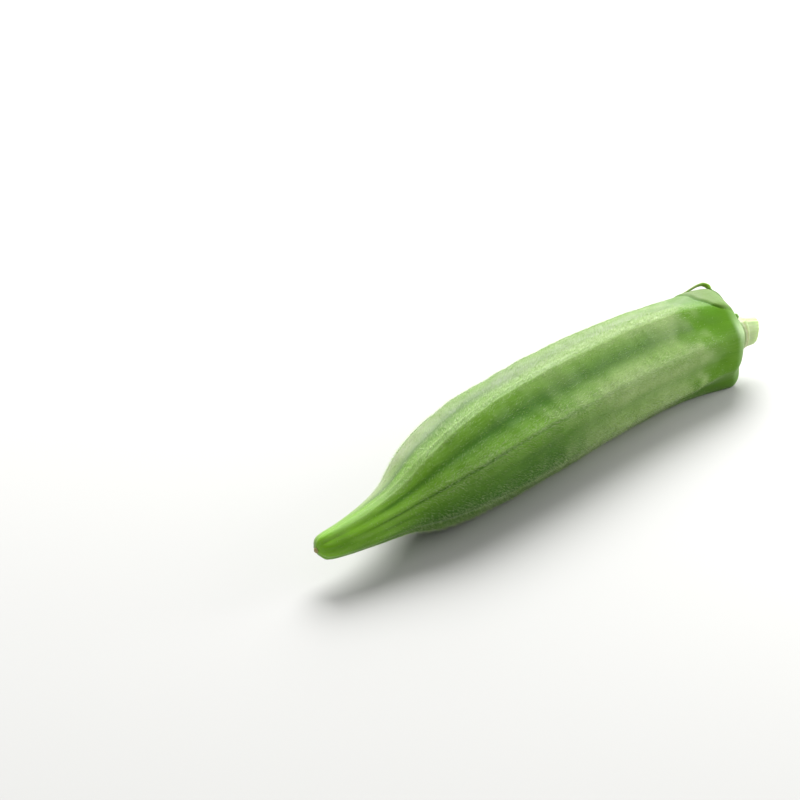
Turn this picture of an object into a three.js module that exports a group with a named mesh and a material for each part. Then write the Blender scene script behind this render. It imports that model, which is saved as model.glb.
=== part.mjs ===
// Okra pod, lying on a table: a seven-ribbed fruit with a narrow beak, the cut stub of
// its stalk, and one small bracteole that curls up over the shoulder.
// Millimetres, +Z up. The beak points towards -X, the stalk towards +X, and the pod
// bows towards +Y. The origin is under the middle of the object, on the table.

import * as THREE from 'three';

// --- Driving dimensions -------------------------------------------------------------

// Every list below runs along the pod: [distance from the beak's end, value].

// Direction of the pod's axis, in degrees from +X towards +Y: this is the bow.
const AXIS_HEADING = [
  [0, -14], [6, -7], [14, 1.2], [24, 6.6], [34, 5.8], [48, 3.2],
  [64, 2.8], [82, -0.4], [98, -5.6], [108, -12], [118, -23],
];

// Height of the axis over the table: the beak hangs a little lower than the belly.
const AXIS_HEIGHT = [
  [0, 7.3], [12, 8.3], [25, 9.2], [45, 9.7], [70, 9.8], [95, 9.7], [108, 9.6], [118, 9.4],
];

// Side outline through the tops of the ribs: [distance along the axis, radius]. It runs
// from the style scar on the beak to the ring where the stalk joins.
const OUTLINE = [
  [-0.9, 0], [-0.75, 1.15], [-0.1, 2.05], [1.2, 2.45], [4, 2.8], [10.2, 3.65],
  [17, 4.9], [25, 7.7], [34, 9.5], [45.4, 10.45], [62.4, 10.85], [81.7, 10.65],
  [98, 10.2], [107, 9.75], [111.4, 9.5], [113.5, 8.5], [115.2, 6.5], [116.6, 4.6],
  [117.6, 3.1],
];
const STALK_END_DISH = 0.3;

// The seven ribs, in degrees round the axis from straight up towards -Y. No two gaps
// are quite alike.
const RIB_ANGLES = [9.5, 64, 110, 154, 203, 257, 313];

// The ribs turn a little round the axis on their way to the stalk, in degrees.
const RIB_TWIST = [[0, 0], [50, 0], [80, 3], [117.6, 4]];

// Depth of the furrows between ribs, as a share of the radius.
const FURROW_DEPTH = [
  [-0.9, 0.14], [0, 0.11], [5, 0.05], [12, 0.06], [20, 0.085], [30, 0.11],
  [60, 0.11], [90, 0.12], [101, 0.115], [108, 0.08], [113, 0.05], [117.6, 0.02],
];

// Shape of the furrows: 0 is a broad hollow face between two ridges, 1 a narrow crease
// between two rounded lobes.
const FURROW_CREASE = [
  [-0.9, 0.7], [10, 0.7], [25, 0.55], [40, 0.3], [60, 0.1], [95, 0.1], [110, 0.2],
  [117.6, 0.3],
];
const RIDGE_ROUNDING = 0.22;
const CREASE_ROUNDING = 0.12;
const CREASE_POWER = 0.8;

// Towards the stalk each rib ends in a lobe of its own: how much it swells, as a share
// of the radius, and how far it reaches along the axis, in mm, in the order of the ribs.
const LOBE_SWELL = [-0.1, -0.04, -0.06, 0.11, 0.03, 0.02, 0.07];
const LOBE_REACH = [-0.3, -0.5, -0.3, 2.3, 1.2, 1, 2.2];
const LOBE_START = 96;
const LOBE_FULL = 112;
const LOBE_ROOT_RADIUS = 4;
const LOBE_TOP_RADIUS = 10;

// The beak's end is cut back on the side that faces down and towards -Y.
const BEAK_SLANT = 0.34;
const BEAK_SLANT_ANGLE = 143;
const BEAK_SLANT_LENGTH = 6;

// Stub of the stalk: [distance past the pod's end, radius], from the hidden end face
// out over the pale ring and along the stub, and the slope of its cut.
const STUB_GAP = 0.35;
const STUB_OUTLINE = [
  [0, 2.75], [0.3, 3], [1.15, 3], [1.5, 2.74], [2.8, 2.66], [4, 2.52], [4.7, 2.42],
];
const STUB_CUT_SLANT = 0.3;
const STUB_CUT_ANGLE = -60;
const STUB_SIDES = 32;

// Bracteole: a strip that starts at the ring, lies on the shoulder, curls up clear of
// it and comes down again. [distance along the axis, angle, height over the skin].
const BRACTEOLE_PATH = [
  [116.4, -22, 0.9], [115.2, -26, 0.8], [114.1, -32, 0.8], [113.2, -38, 0.85],
  [112.6, -41.5, 1.25], [112, -43, 1.75], [111.3, -44, 1.9], [110.4, -45, 1.75],
  [109.4, -46, 1.3], [108.4, -47, 0.9], [107.4, -48, 0.75],
];
const BRACTEOLE_WIDTH = [[0, 1.5], [0.5, 1.3], [0.75, 0.9], [1, 0.7]];
const BRACTEOLE_THICKNESS = 0.6;
const BRACTEOLE_STEPS = 26;
const BRACTEOLE_SIDES = 8;

// Fineness of the faceted skin.
const FACETS_PER_RIB = 10;
const RING_SPACING = 3;
const MIN_RINGS_PER_SPAN = 2;
const AXIS_STEP = 0.25;

const UP = new THREE.Vector3(0, 0, 1);
const RIBS = RIB_ANGLES.length;

// --- Curves -------------------------------------------------------------------------

// Monotone cubic through the stations: never overshoots between two of them.
function smooth(stations, x) {
  const last = stations.length - 1;
  if (x <= stations[0][0]) return stations[0][1];
  if (x >= stations[last][0]) return stations[last][1];
  const slope = (k) =>
    (stations[k + 1][1] - stations[k][1]) / (stations[k + 1][0] - stations[k][0]);
  const tangent = (k) => {
    if (k === 0) return slope(0);
    if (k === last) return slope(last - 1);
    const before = slope(k - 1);
    const after = slope(k);
    return before * after > 0 ? (2 * before * after) / (before + after) : 0;
  };
  let i = 0;
  while (x > stations[i + 1][0]) i += 1;
  const span = stations[i + 1][0] - stations[i][0];
  const t = (x - stations[i][0]) / span;
  const t2 = t * t;
  const t3 = t2 * t;
  return (
    (2 * t3 - 3 * t2 + 1) * stations[i][1] +
    (t3 - 2 * t2 + t) * span * tangent(i) +
    (3 * t2 - 2 * t3) * stations[i + 1][1] +
    (t3 - t2) * span * tangent(i + 1)
  );
}

// A smooth step from 0 at low to 1 at high.
function ease(low, high, x) {
  const t = THREE.MathUtils.clamp((x - low) / (high - low), 0, 1);
  return t * t * (3 - 2 * t);
}

// --- The axis -----------------------------------------------------------------------

const AXIS_LENGTH = OUTLINE[OUTLINE.length - 1][0];

function axisDirection(s) {
  const heading = THREE.MathUtils.degToRad(smooth(AXIS_HEADING, s));
  const rise =
    (smooth(AXIS_HEIGHT, s + AXIS_STEP) - smooth(AXIS_HEIGHT, s - AXIS_STEP)) /
    (2 * AXIS_STEP);
  const level = Math.sqrt(1 - rise * rise);
  return new THREE.Vector3(level * Math.cos(heading), level * Math.sin(heading), rise);
}

// Points along the axis, summed up step by step from its direction.
const AXIS_POINTS = [new THREE.Vector3(0, 0, smooth(AXIS_HEIGHT, 0))];
for (let s = 0; s < AXIS_LENGTH; s += AXIS_STEP) {
  const step = axisDirection(s + AXIS_STEP / 2).multiplyScalar(AXIS_STEP);
  AXIS_POINTS.push(AXIS_POINTS[AXIS_POINTS.length - 1].clone().add(step));
}

// Centre and frame at distance s; past either end the axis runs on straight.
function axisAt(s) {
  const inside = THREE.MathUtils.clamp(s, 0, AXIS_LENGTH);
  const index = Math.min(Math.floor(inside / AXIS_STEP), AXIS_POINTS.length - 2);
  const share = inside / AXIS_STEP - index;
  const centre = AXIS_POINTS[index].clone().lerp(AXIS_POINTS[index + 1], share);
  const along = axisDirection(inside);
  centre.addScaledVector(along, s - inside);
  const side = UP.clone().cross(along).normalize();
  const up = along.clone().cross(side);
  return { centre, along, side, up };
}

// Unit vector that points away from the axis at an angle in radians.
function outward(frame, angle) {
  return frame.up
    .clone()
    .multiplyScalar(Math.cos(angle))
    .addScaledVector(frame.side, -Math.sin(angle));
}

// --- The ribbed skin ----------------------------------------------------------------

// The two ribs on either side of an angle, and how far it lies between them, 0 to 1.
function betweenRibs(degrees) {
  const first = RIB_ANGLES[0];
  const turned = THREE.MathUtils.euclideanModulo(degrees - first, 360) + first;
  let rib = RIBS - 1;
  while (RIB_ANGLES[rib] > turned) rib -= 1;
  const next = rib + 1 < RIBS ? RIB_ANGLES[rib + 1] : first + 360;
  const phase = (turned - RIB_ANGLES[rib]) / (next - RIB_ANGLES[rib]);
  return { rib, nextRib: (rib + 1) % RIBS, phase };
}

// Square root that is rounded off near zero, scaled to run from 0 to 1.
function roundedAbs(value, rounding) {
  const whole = Math.sqrt(1 + rounding * rounding) - rounding;
  return (Math.sqrt(value * value + rounding * rounding) - rounding) / whole;
}

// Depth across one gap between ribs: 0 on the ribs and 1 in the furrow.
function furrow(phase, crease) {
  const broad = roundedAbs(Math.sin(Math.PI * phase), RIDGE_ROUNDING);
  const lobe = roundedAbs(Math.cos(Math.PI * phase), CREASE_ROUNDING);
  return (1 - crease) * broad + crease * (1 - lobe ** CREASE_POWER);
}

// One point of the skin. Nothing reaches below the table, so the two lowest ribs get
// the small flats that the pod lies on.
function skinPoint(s, radius, degrees) {
  const { rib, nextRib, phase } = betweenRibs(degrees);
  const share = 0.5 - 0.5 * Math.cos(Math.PI * phase);
  const swell = THREE.MathUtils.lerp(LOBE_SWELL[rib], LOBE_SWELL[nextRib], share);
  const reach = THREE.MathUtils.lerp(LOBE_REACH[rib], LOBE_REACH[nextRib], share);
  const lobe = ease(LOBE_START, LOBE_FULL, s);
  const cut = smooth(FURROW_DEPTH, s) * furrow(phase, smooth(FURROW_CREASE, s));
  const distance = radius * (1 - cut) * (1 + lobe * swell);
  const angle = THREE.MathUtils.degToRad(degrees + smooth(RIB_TWIST, s));
  const height = THREE.MathUtils.clamp(
    (distance - LOBE_ROOT_RADIUS) / (LOBE_TOP_RADIUS - LOBE_ROOT_RADIUS), 0, 1,
  );
  const beak = THREE.MathUtils.clamp(1 - (s - OUTLINE[0][0]) / BEAK_SLANT_LENGTH, 0, 1);
  const slantAngle = angle - THREE.MathUtils.degToRad(BEAK_SLANT_ANGLE);
  const slant = BEAK_SLANT * distance * beak * (0.5 + 0.5 * Math.cos(slantAngle));
  const frame = axisAt(s);
  const point = frame.centre
    .addScaledVector(outward(frame, angle), distance)
    .addScaledVector(frame.along, reach * lobe * height + slant);
  point.z = Math.max(point.z, 0);
  return point;
}

// The outline as two smooth curves over its own length, and its total length.
function outlineCurves() {
  let travelled = 0;
  const places = OUTLINE.map(([s, radius], index) => {
    if (index > 0) {
      const [previousS, previousRadius] = OUTLINE[index - 1];
      travelled += Math.hypot(s - previousS, radius - previousRadius);
    }
    return travelled;
  });
  return {
    places,
    distances: OUTLINE.map(([s], index) => [places[index], s]),
    radii: OUTLINE.map(([, radius], index) => [places[index], radius]),
  };
}

// Rings along the outline, closer together where its points are.
function ringStations() {
  const { places, distances, radii } = outlineCurves();
  const rings = [];
  for (let k = 1; k < places.length; k += 1) {
    const span = places[k] - places[k - 1];
    const count = Math.max(MIN_RINGS_PER_SPAN, Math.round(span / RING_SPACING));
    for (let j = 1; j <= count; j += 1) {
      const place = places[k - 1] + (span * j) / count;
      rings.push({ s: smooth(distances, place), radius: smooth(radii, place) });
    }
  }
  return rings;
}

function ribbedAngles() {
  const angles = [];
  RIB_ANGLES.forEach((start, rib) => {
    const end = rib + 1 < RIBS ? RIB_ANGLES[rib + 1] : RIB_ANGLES[0] + 360;
    for (let j = 0; j < FACETS_PER_RIB; j += 1) {
      angles.push(start + ((end - start) * j) / FACETS_PER_RIB);
    }
  });
  return angles;
}

// --- Closed bodies from rings -------------------------------------------------------

// Joins rings of points, each turning the same way, between a first and a last point.
function closedBody(firstPoint, rings, lastPoint) {
  const sides = rings[0].length;
  const points = [firstPoint, ...rings.flat(), lastPoint];
  const last = points.length - 1;
  const faces = [];
  const at = (ring, corner) => 1 + ring * sides + (corner % sides);
  for (let corner = 0; corner < sides; corner += 1) {
    faces.push(0, at(0, corner + 1), at(0, corner));
    for (let ring = 0; ring + 1 < rings.length; ring += 1) {
      const [a, b] = [at(ring, corner), at(ring, corner + 1)];
      const [c, d] = [at(ring + 1, corner), at(ring + 1, corner + 1)];
      faces.push(a, b, c, b, d, c);
    }
    faces.push(last, at(rings.length - 1, corner), at(rings.length - 1, corner + 1));
  }
  const geometry = new THREE.BufferGeometry().setFromPoints(points);
  geometry.setIndex(faces);
  geometry.computeVertexNormals();
  return geometry;
}

function podGeometry() {
  const angles = ribbedAngles();
  const rings = ringStations().map(({ s, radius }) =>
    angles.map((degrees) => skinPoint(s, radius, degrees)),
  );
  const scar = skinPoint(OUTLINE[0][0], 0, 0);
  const dish = axisAt(AXIS_LENGTH - STALK_END_DISH).centre;
  return closedBody(scar, rings, dish);
}

// The stub carries on in line with the axis; its cut is slanted, so that it is longest
// at the angle of the cut.
function stubGeometry() {
  const frame = axisAt(AXIS_LENGTH);
  const cutAngle = THREE.MathUtils.degToRad(STUB_CUT_ANGLE);
  const stubPoint = (offset, radius, angle) => {
    const lost = STUB_CUT_SLANT * offset * (0.5 - 0.5 * Math.cos(angle - cutAngle));
    return frame.centre
      .clone()
      .addScaledVector(outward(frame, angle), radius)
      .addScaledVector(frame.along, STUB_GAP + offset - lost);
  };
  const rings = STUB_OUTLINE.map(([offset, radius]) =>
    Array.from({ length: STUB_SIDES }, (_, corner) =>
      stubPoint(offset, radius, (2 * Math.PI * corner) / STUB_SIDES),
    ),
  );
  const middle = (ring) =>
    ring
      .reduce((sum, point) => sum.add(point), new THREE.Vector3())
      .divideScalar(ring.length);
  return closedBody(middle(rings[0]), rings, middle(rings[rings.length - 1]));
}

// A point of the skin and the direction straight out of it.
function skinAndNormal(s, degrees) {
  const { distances, radii, places } = outlineCurves();
  let low = 0;
  let high = places[places.length - 1];
  while (high - low > 0.001) {
    const middle = (low + high) / 2;
    if (smooth(distances, middle) < s) low = middle;
    else high = middle;
  }
  const step = 0.05;
  const at = (place, angle) =>
    skinPoint(smooth(distances, place), smooth(radii, place), angle);
  const point = at(low, degrees);
  const along = at(low + step, degrees).sub(at(low - step, degrees));
  const across = at(low, degrees + 1).sub(at(low, degrees - 1));
  return { point, normal: along.cross(across).normalize().negate() };
}

function bracteoleGeometry() {
  const course = BRACTEOLE_PATH.map(([s, degrees, lift]) => {
    const { point, normal } = skinAndNormal(s, degrees);
    return { centre: point.addScaledVector(normal, lift), normal };
  });
  const path = new THREE.CatmullRomCurve3(course.map(({ centre }) => centre));
  const facing = new THREE.CatmullRomCurve3(course.map(({ normal }) => normal));
  const rings = [];
  for (let step = 0; step <= BRACTEOLE_STEPS; step += 1) {
    const t = step / BRACTEOLE_STEPS;
    const across = facing.getPoint(t).cross(path.getTangent(t)).normalize();
    const over = path.getTangent(t).cross(across);
    const halfWidth = smooth(BRACTEOLE_WIDTH, t) / 2;
    const ring = Array.from({ length: BRACTEOLE_SIDES }, (_, corner) => {
      const angle = (2 * Math.PI * (corner + 0.5)) / BRACTEOLE_SIDES;
      const flat = Math.cos(Math.PI / BRACTEOLE_SIDES);
      return path
        .getPoint(t)
        .addScaledVector(across, (halfWidth * Math.cos(angle)) / flat)
        .addScaledVector(over, (BRACTEOLE_THICKNESS / 2) * Math.sin(angle) / flat);
    });
    rings.push(ring);
  }
  return closedBody(path.getPoint(0), rings, path.getPoint(1));
}

// --- The object ---------------------------------------------------------------------

function piece(name, geometry, color, roughness) {
  const material = new THREE.MeshStandardMaterial({ color, roughness, metalness: 0 });
  const mesh = new THREE.Mesh(geometry, material);
  mesh.name = name;
  return mesh;
}

const okra = new THREE.Group();
okra.add(piece('pod', podGeometry(), 0x6b9729, 0.5));
okra.add(piece('stalk_stub', stubGeometry(), 0xc5d6a0, 0.6));
okra.add(piece('bracteole', bracteoleGeometry(), 0x7ba63a, 0.6));

// The origin goes under the middle of the whole object; the table stays at z = 0.
const middle = new THREE.Box3().setFromObject(okra, true).getCenter(new THREE.Vector3());
okra.position.set(-middle.x, -middle.y, 0);
okra.updateMatrixWorld(true);

export default okra;
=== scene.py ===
"""Looks of one okra pod that lies on its ribs.

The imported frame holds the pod, the cut stub of its stalk and one bracteole. This script
replaces the three faceted solids with fine grown surfaces on the same formula, gives each
its finish, and adds the down that covers the skin.

Shapes are worked out in millimetres in the grower's frame, which starts at the beak, and
are then moved into the row frame, in metres.
"""

import logging
import math
from dataclasses import dataclass
from enum import Enum

import bpy
import numpy as np
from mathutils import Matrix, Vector


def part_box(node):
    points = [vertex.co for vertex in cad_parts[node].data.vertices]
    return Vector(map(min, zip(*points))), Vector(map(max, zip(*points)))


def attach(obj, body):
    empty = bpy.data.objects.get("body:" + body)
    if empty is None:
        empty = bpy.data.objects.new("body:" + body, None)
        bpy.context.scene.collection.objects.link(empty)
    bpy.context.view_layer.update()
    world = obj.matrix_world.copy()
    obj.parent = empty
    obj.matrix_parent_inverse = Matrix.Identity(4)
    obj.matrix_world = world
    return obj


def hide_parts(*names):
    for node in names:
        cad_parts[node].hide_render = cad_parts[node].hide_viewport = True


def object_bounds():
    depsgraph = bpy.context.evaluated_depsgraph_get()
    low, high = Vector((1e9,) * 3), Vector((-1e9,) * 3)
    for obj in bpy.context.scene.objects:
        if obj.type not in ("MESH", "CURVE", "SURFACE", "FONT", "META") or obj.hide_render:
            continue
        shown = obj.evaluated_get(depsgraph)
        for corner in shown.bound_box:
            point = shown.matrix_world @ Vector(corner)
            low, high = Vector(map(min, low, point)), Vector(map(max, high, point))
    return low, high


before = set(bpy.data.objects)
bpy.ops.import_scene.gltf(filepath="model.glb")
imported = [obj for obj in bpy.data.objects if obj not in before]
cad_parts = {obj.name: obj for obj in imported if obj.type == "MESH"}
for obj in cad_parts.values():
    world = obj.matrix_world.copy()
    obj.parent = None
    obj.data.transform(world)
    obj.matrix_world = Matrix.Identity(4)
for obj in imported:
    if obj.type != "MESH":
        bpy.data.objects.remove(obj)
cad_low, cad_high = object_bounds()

LOG = logging.getLogger("okra")

MM = 0.001

Stations = tuple[tuple[float, float], ...]
Array = np.ndarray


# --- Curves -------------------------------------------------------------------------


def smooth(stations: Stations, x: Array | float) -> Array:
    """Monotone cubic through the stations, held level past both ends.

    Between two stations the value is the cubic with the inner slopes set to the harmonic
    mean of the slopes on either side, or to nothing where those two disagree in sign.

    Args:
        stations: Pairs of place and value, in order of place.
        x: Places to read.

    Returns:
        The value at each place.
    """
    places, values = np.asarray(stations, float).T
    slope = np.diff(values) / np.diff(places)
    before, after = slope[:-1], slope[1:]
    agree = before * after > 0
    total = np.where(agree, before + after, 1.0)
    inner = np.where(agree, 2 * before * after / total, 0.0)
    tangent = np.concatenate([slope[:1], inner, slope[-1:]])
    x = np.clip(x, places[0], places[-1])
    i = np.clip(np.searchsorted(places, x, side="right") - 1, 0, len(slope) - 1)
    span = places[i + 1] - places[i]
    t = (x - places[i]) / span
    return (
        (2 * t**3 - 3 * t**2 + 1) * values[i]
        + (t**3 - 2 * t**2 + t) * span * tangent[i]
        + (3 * t**2 - 2 * t**3) * values[i + 1]
        + (t**3 - t**2) * span * tangent[i + 1]
    )


def ease(low: float, high: float, x: Array) -> Array:
    """Smooth step from 0 at low to 1 at high."""
    t = np.clip((x - low) / (high - low), 0, 1)
    return t * t * (3 - 2 * t)


def bell(distance: Array, width: float) -> Array:
    """A bell curve: 1 at no distance, and 0.37 at one width."""
    return np.exp(-((distance / width) ** 2))


def unit(vectors: Array) -> Array:
    """The vectors at length 1."""
    return vectors / np.linalg.norm(vectors, axis=-1, keepdims=True)


def mix(a: Array | float, b: Array | float, share: Array) -> Array:
    """Goes from a to b as share goes from 0 to 1."""
    return a + (b - a) * share


def signed(degrees: Array) -> Array:
    """The same angles, from -180 to 180 degrees."""
    return np.mod(degrees + 180, 360) - 180


def around(angle: Array, side: Array, up: Array) -> Array:
    """Directions at angles turned from up away from side: cosine of up, less sine of side."""
    return np.cos(angle)[..., None] * up - np.sin(angle)[..., None] * side


@dataclass(frozen=True)
class Ramp:
    """A smooth step from one value to another between two places."""

    start: float
    end: float
    before: float = 0
    after: float = 1

    def at(self, x: Array) -> Array:
        """The value at each place."""
        return mix(self.before, self.after, ease(self.start, self.end, x))


@dataclass(frozen=True)
class Band:
    """A soft band along the pod: a bell curve round it, eased in and out along it.

    Angle and width are degrees round the pod, rise and fall are places along it. Without
    them the band runs from end to end.
    """

    angle: float
    width: float
    rise: tuple[float, float] = (-2, -1)
    fall: tuple[float, float] = (120, 121)
    strength: float = 1

    def at(self, s: Array, degrees: Array) -> Array:
        """How strongly the band shows at places along the pod and angles round it."""
        within = ease(*self.rise, s) * (1 - ease(*self.fall, s))
        return self.strength * within * bell(degrees - self.angle, self.width)


@dataclass(frozen=True)
class Spot:
    """A soft spot on the pod: a bell curve round it by a bell curve along it."""

    angle: float
    width: float
    place: float
    reach: float
    strength: float = 1

    def at(self, s: Array, degrees: Array) -> Array:
        """How strongly the spot shows at places along the pod and angles round it."""
        near = bell(s - self.place, self.reach)
        return self.strength * near * bell(degrees - self.angle, self.width)


@dataclass(frozen=True)
class Ripple:
    """Seamless unevenness of a round surface.

    The height is a sum of sine waves, each with its own wavelength along the piece and a
    whole number of turns round it, so it meets itself without a seam.
    """

    seed: int
    longest_mm: float
    shortest_mm: float
    most_turns: int
    waves: int = 18

    def at(self, along: Array, angle: Array) -> Array:
        """Reads the ripple.

        Args:
            along: Distance along the piece, in millimetres.
            angle: Angle round it, in radians.

        Returns:
            Height, mostly between -2 and 2.
        """
        draw = np.random.default_rng(self.seed)
        ratio = self.longest_mm / self.shortest_mm
        lengths = self.shortest_mm * ratio ** draw.random(self.waves)
        turns = draw.integers(-self.most_turns, self.most_turns + 1, self.waves)
        starts = draw.random(self.waves) * 2 * np.pi
        total = np.zeros(np.broadcast(along, angle).shape)
        for length, turn, start in zip(lengths, turns, starts):
            total = total + np.sin(2 * np.pi * along / length + turn * angle + start)
        return total / math.sqrt(self.waves / 2)


# --- The grown form -----------------------------------------------------------------


@dataclass(frozen=True)
class PodForm:
    """The pod's skin as a function of the distance along its axis and the angle round it.

    Every station list runs along the pod's axis: (millimetres, value), where 0 is just
    inside the beak's end. The values are the ones that the frame was built with, and the
    fine relief is added here.
    """

    heading: Stations = (
        (0, -14), (6, -7), (14, 1.2), (24, 6.6), (34, 5.8), (48, 3.2),
        (64, 2.8), (82, -0.4), (98, -5.6), (108, -12), (118, -23),
    )
    height: Stations = (
        (0, 7.3), (12, 8.3), (25, 9.2), (45, 9.7), (70, 9.8), (95, 9.7),
        (108, 9.6), (118, 9.4),
    )
    outline: Stations = (
        (-0.9, 0), (-0.75, 1.15), (-0.1, 2.05), (1.2, 2.45), (4, 2.8), (10.2, 3.65),
        (17, 4.9), (25, 7.7), (34, 9.5), (45.4, 10.45), (62.4, 10.85), (81.7, 10.65),
        (98, 10.2), (107, 9.75), (111.4, 9.5), (113.5, 8.5), (115.2, 6.5),
        (116.6, 4.6), (117.6, 3.1),
    )
    rib_angles: tuple[float, ...] = (9.5, 64, 110, 154, 203, 257, 313)
    rib_twist: Stations = ((0, 0), (50, 0), (80, 3), (117.6, 4))
    furrow_depth: Stations = (
        (-0.9, 0.14), (0, 0.11), (5, 0.05), (12, 0.06), (20, 0.085), (30, 0.11),
        (60, 0.11), (90, 0.12), (101, 0.115), (108, 0.08), (113, 0.05), (117.6, 0.02),
    )
    furrow_crease: Stations = (
        (-0.9, 0.7), (10, 0.7), (25, 0.55), (40, 0.3), (60, 0.1), (95, 0.1),
        (110, 0.2), (117.6, 0.3),
    )
    # Ridges and creases are rounded off by a share of the depth. From lobe_start on, each
    # rib ends in a lobe: it swells by a share of the radius and, where the skin lies
    # further out than the root's radius, reaches on along the axis by some millimetres.
    # The beak is cut off at a slant, which leans furthest on at one angle round it.
    ridge_rounding: float = 0.22
    crease_rounding: float = 0.12
    crease_power: float = 0.8
    lobe_swell: tuple[float, ...] = (-0.1, -0.04, -0.06, 0.11, 0.03, 0.02, 0.07)
    lobe_reach: tuple[float, ...] = (-0.3, -0.5, -0.3, 2.3, 1.2, 1, 2.2)
    lobe_start: float = 96
    lobe_full: float = 112
    lobe_root_radius: float = 4
    lobe_top_radius: float = 10
    beak_slant: float = 0.34
    beak_slant_angle: float = 143
    beak_slant_length: float = 6
    axis_step: float = 0.25

    # Fine relief, in millimetres. Each rib carries a pair of fine lines, one on either
    # side of its crest, the seeds press the faces out, and the skin is a little uneven.
    # Down and bloom keep to the crests as well, turned a few degrees back; the bloom is
    # partly painted light.
    rib_line_height: Stations = (
        (0, 0), (8, 0.03), (22, 0.1), (45, 0.09), (70, 0.06), (100, 0.04), (108, 0),
    )
    rib_line_offset: float = 0.6
    rib_line_width: float = 0.26
    seed_bulge: Stations = ((22, 0), (34, 0.04), (90, 0.05), (104, 0))
    seed_spacing: float = 4.7
    seed_stagger: float = 0.5
    seed_wander: float = 0.35
    unevenness: Stations = ((0, 0.01), (14, 0.02), (40, 0.04), (98, 0.045), (110, 0.02))
    uneven: Ripple = Ripple(seed=11, longest_mm=30, shortest_mm=6, most_turns=11)
    seed_shift: Ripple = Ripple(seed=5, longest_mm=60, shortest_mm=22, most_turns=3)
    down_turn: float = 3.5

    # On the shoulder a lip stands over a narrow crease, whose stations run round the pod:
    # (degrees, millimetres along the axis). It fades at its ends, in degrees, and towards
    # the stalk, in millimetres along the axis.
    lip_crease: Stations = (
        (-60, 104.6), (-35, 106.6), (-21, 107.4), (-12, 107.9), (-3, 108.5), (8, 109),
        (14, 110.1), (18, 111.4), (21, 114), (24, 119),
    )
    lip_wobble: float = 0.1
    lip_height: float = 0.28
    lip_slope: float = 0.7
    lip_crease_depth: float = 0.16
    lip_crease_width: float = 0.22
    lip_ends: tuple[float, float, float, float] = (-66, -44, 14, 22)
    lip_fade: Ramp = Ramp(113.5, 116.6, 1, 0)

    # How far apart points stand whose differences give the skin's directions, and how
    # many places of the outline are tried to find one by its distance along the axis.
    probe_mm: float = 0.05
    probe_degrees: float = 0.4
    outline_tries: int = 4000

    @property
    def start(self) -> float:
        """Place of the beak's end on the axis."""
        return self.outline[0][0]

    @property
    def rib_circle(self) -> Array:
        """The ribs' angles all round, with the first again at the end."""
        return np.append(self.rib_angles, self.rib_angles[0] + 360)

    @property
    def length(self) -> float:
        """Length of the axis."""
        return self.outline[-1][0]

    def direction(self, s: Array) -> Array:
        """Unit vectors along the axis, from its heading and from the slope of its height.

        Args:
            s: Distance along the axis.

        Returns:
            One vector for each distance.
        """
        heading = np.radians(smooth(self.heading, s))
        step = self.axis_step
        rise = (smooth(self.height, s + step) - smooth(self.height, s - step)) / (2 * step)
        level = np.sqrt(1 - rise**2)
        return np.stack([level * np.cos(heading), level * np.sin(heading), rise], axis=-1)

    def centre(self, s: Array) -> Array:
        """Points on the axis: its directions summed up step by step, straight past its ends.

        Args:
            s: Distance along the axis.

        Returns:
            One point for each distance.
        """
        starts = np.arange(0, self.length, self.axis_step)
        steps = self.direction(starts + self.axis_step / 2) * self.axis_step
        first = np.array([[0, 0, smooth(self.height, 0.0)]])
        points = np.concatenate([first, first + np.cumsum(steps, axis=0)])
        knots = np.arange(len(points)) * self.axis_step
        inside = np.clip(s, 0, self.length)
        on_axis = np.stack([np.interp(inside, knots, points[:, k]) for k in range(3)], axis=-1)
        return on_axis + self.direction(inside) * (s - inside)[..., None]

    def cross_section(self, s: Array) -> tuple[Array, Array, Array]:
        """The three directions of the axis: along it, level to its side, and up.

        Args:
            s: Distance along the axis.

        Returns:
            Unit vectors along the axis, to its side and up.
        """
        along = self.direction(np.clip(s, 0, self.length))
        side = unit(np.cross([0.0, 0.0, 1.0], along))
        return along, side, np.cross(along, side)

    def between_ribs(self, degrees: Array) -> tuple[Array, Array, Array, Array]:
        """Where an angle lies among the ribs.

        Args:
            degrees: Angles round the axis, from straight up towards -Y.

        Returns:
            The rib before, the rib after, how far the angle is between them, 0 to 1, and
            the gap between them in degrees.
        """
        ribs = self.rib_circle
        turned = np.mod(degrees - ribs[0], 360) + ribs[0]
        rib = np.searchsorted(ribs[:-1], turned, side="right") - 1
        gap = ribs[rib + 1] - ribs[rib]
        return rib, (rib + 1) % len(self.rib_angles), (turned - ribs[rib]) / gap, gap

    def furrow(self, phase: Array, crease: Array) -> Array:
        """Depth across a gap: 0 on the ribs and 1 in the furrow.

        A broad hollow face is a sine with rounded ridges, a crease is one less a rounded
        cosine, and crease says how much of each.

        Args:
            phase: How far each point is across its gap, 0 to 1.
            crease: Share of the crease.

        Returns:
            The depth.
        """

        def rounded(value: Array, rounding: float) -> Array:
            """The size of a value, rounded off where it is small: a hyperbola's height."""
            whole = math.sqrt(1 + rounding**2) - rounding
            return (np.sqrt(value**2 + rounding**2) - rounding) / whole

        broad = rounded(np.sin(np.pi * phase), self.ridge_rounding)
        lobe = rounded(np.cos(np.pi * phase), self.crease_rounding)
        return mix(broad, 1 - lobe**self.crease_power, crease)

    def crest_distance(self, radius: Array, degrees: Array) -> Array:
        """Millimetres round the skin to the nearest rib's crest."""
        _, _, phase, gap = self.between_ribs(degrees)
        return radius * np.radians(gap * np.minimum(phase, 1 - phase))

    def nearest_rib(self, degrees: Array) -> Array:
        """The rib whose crest is nearest, by its place in the list of ribs."""
        rib, following, phase, _ = self.between_ribs(degrees)
        return np.where(phase < 0.5, rib, following)

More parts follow.
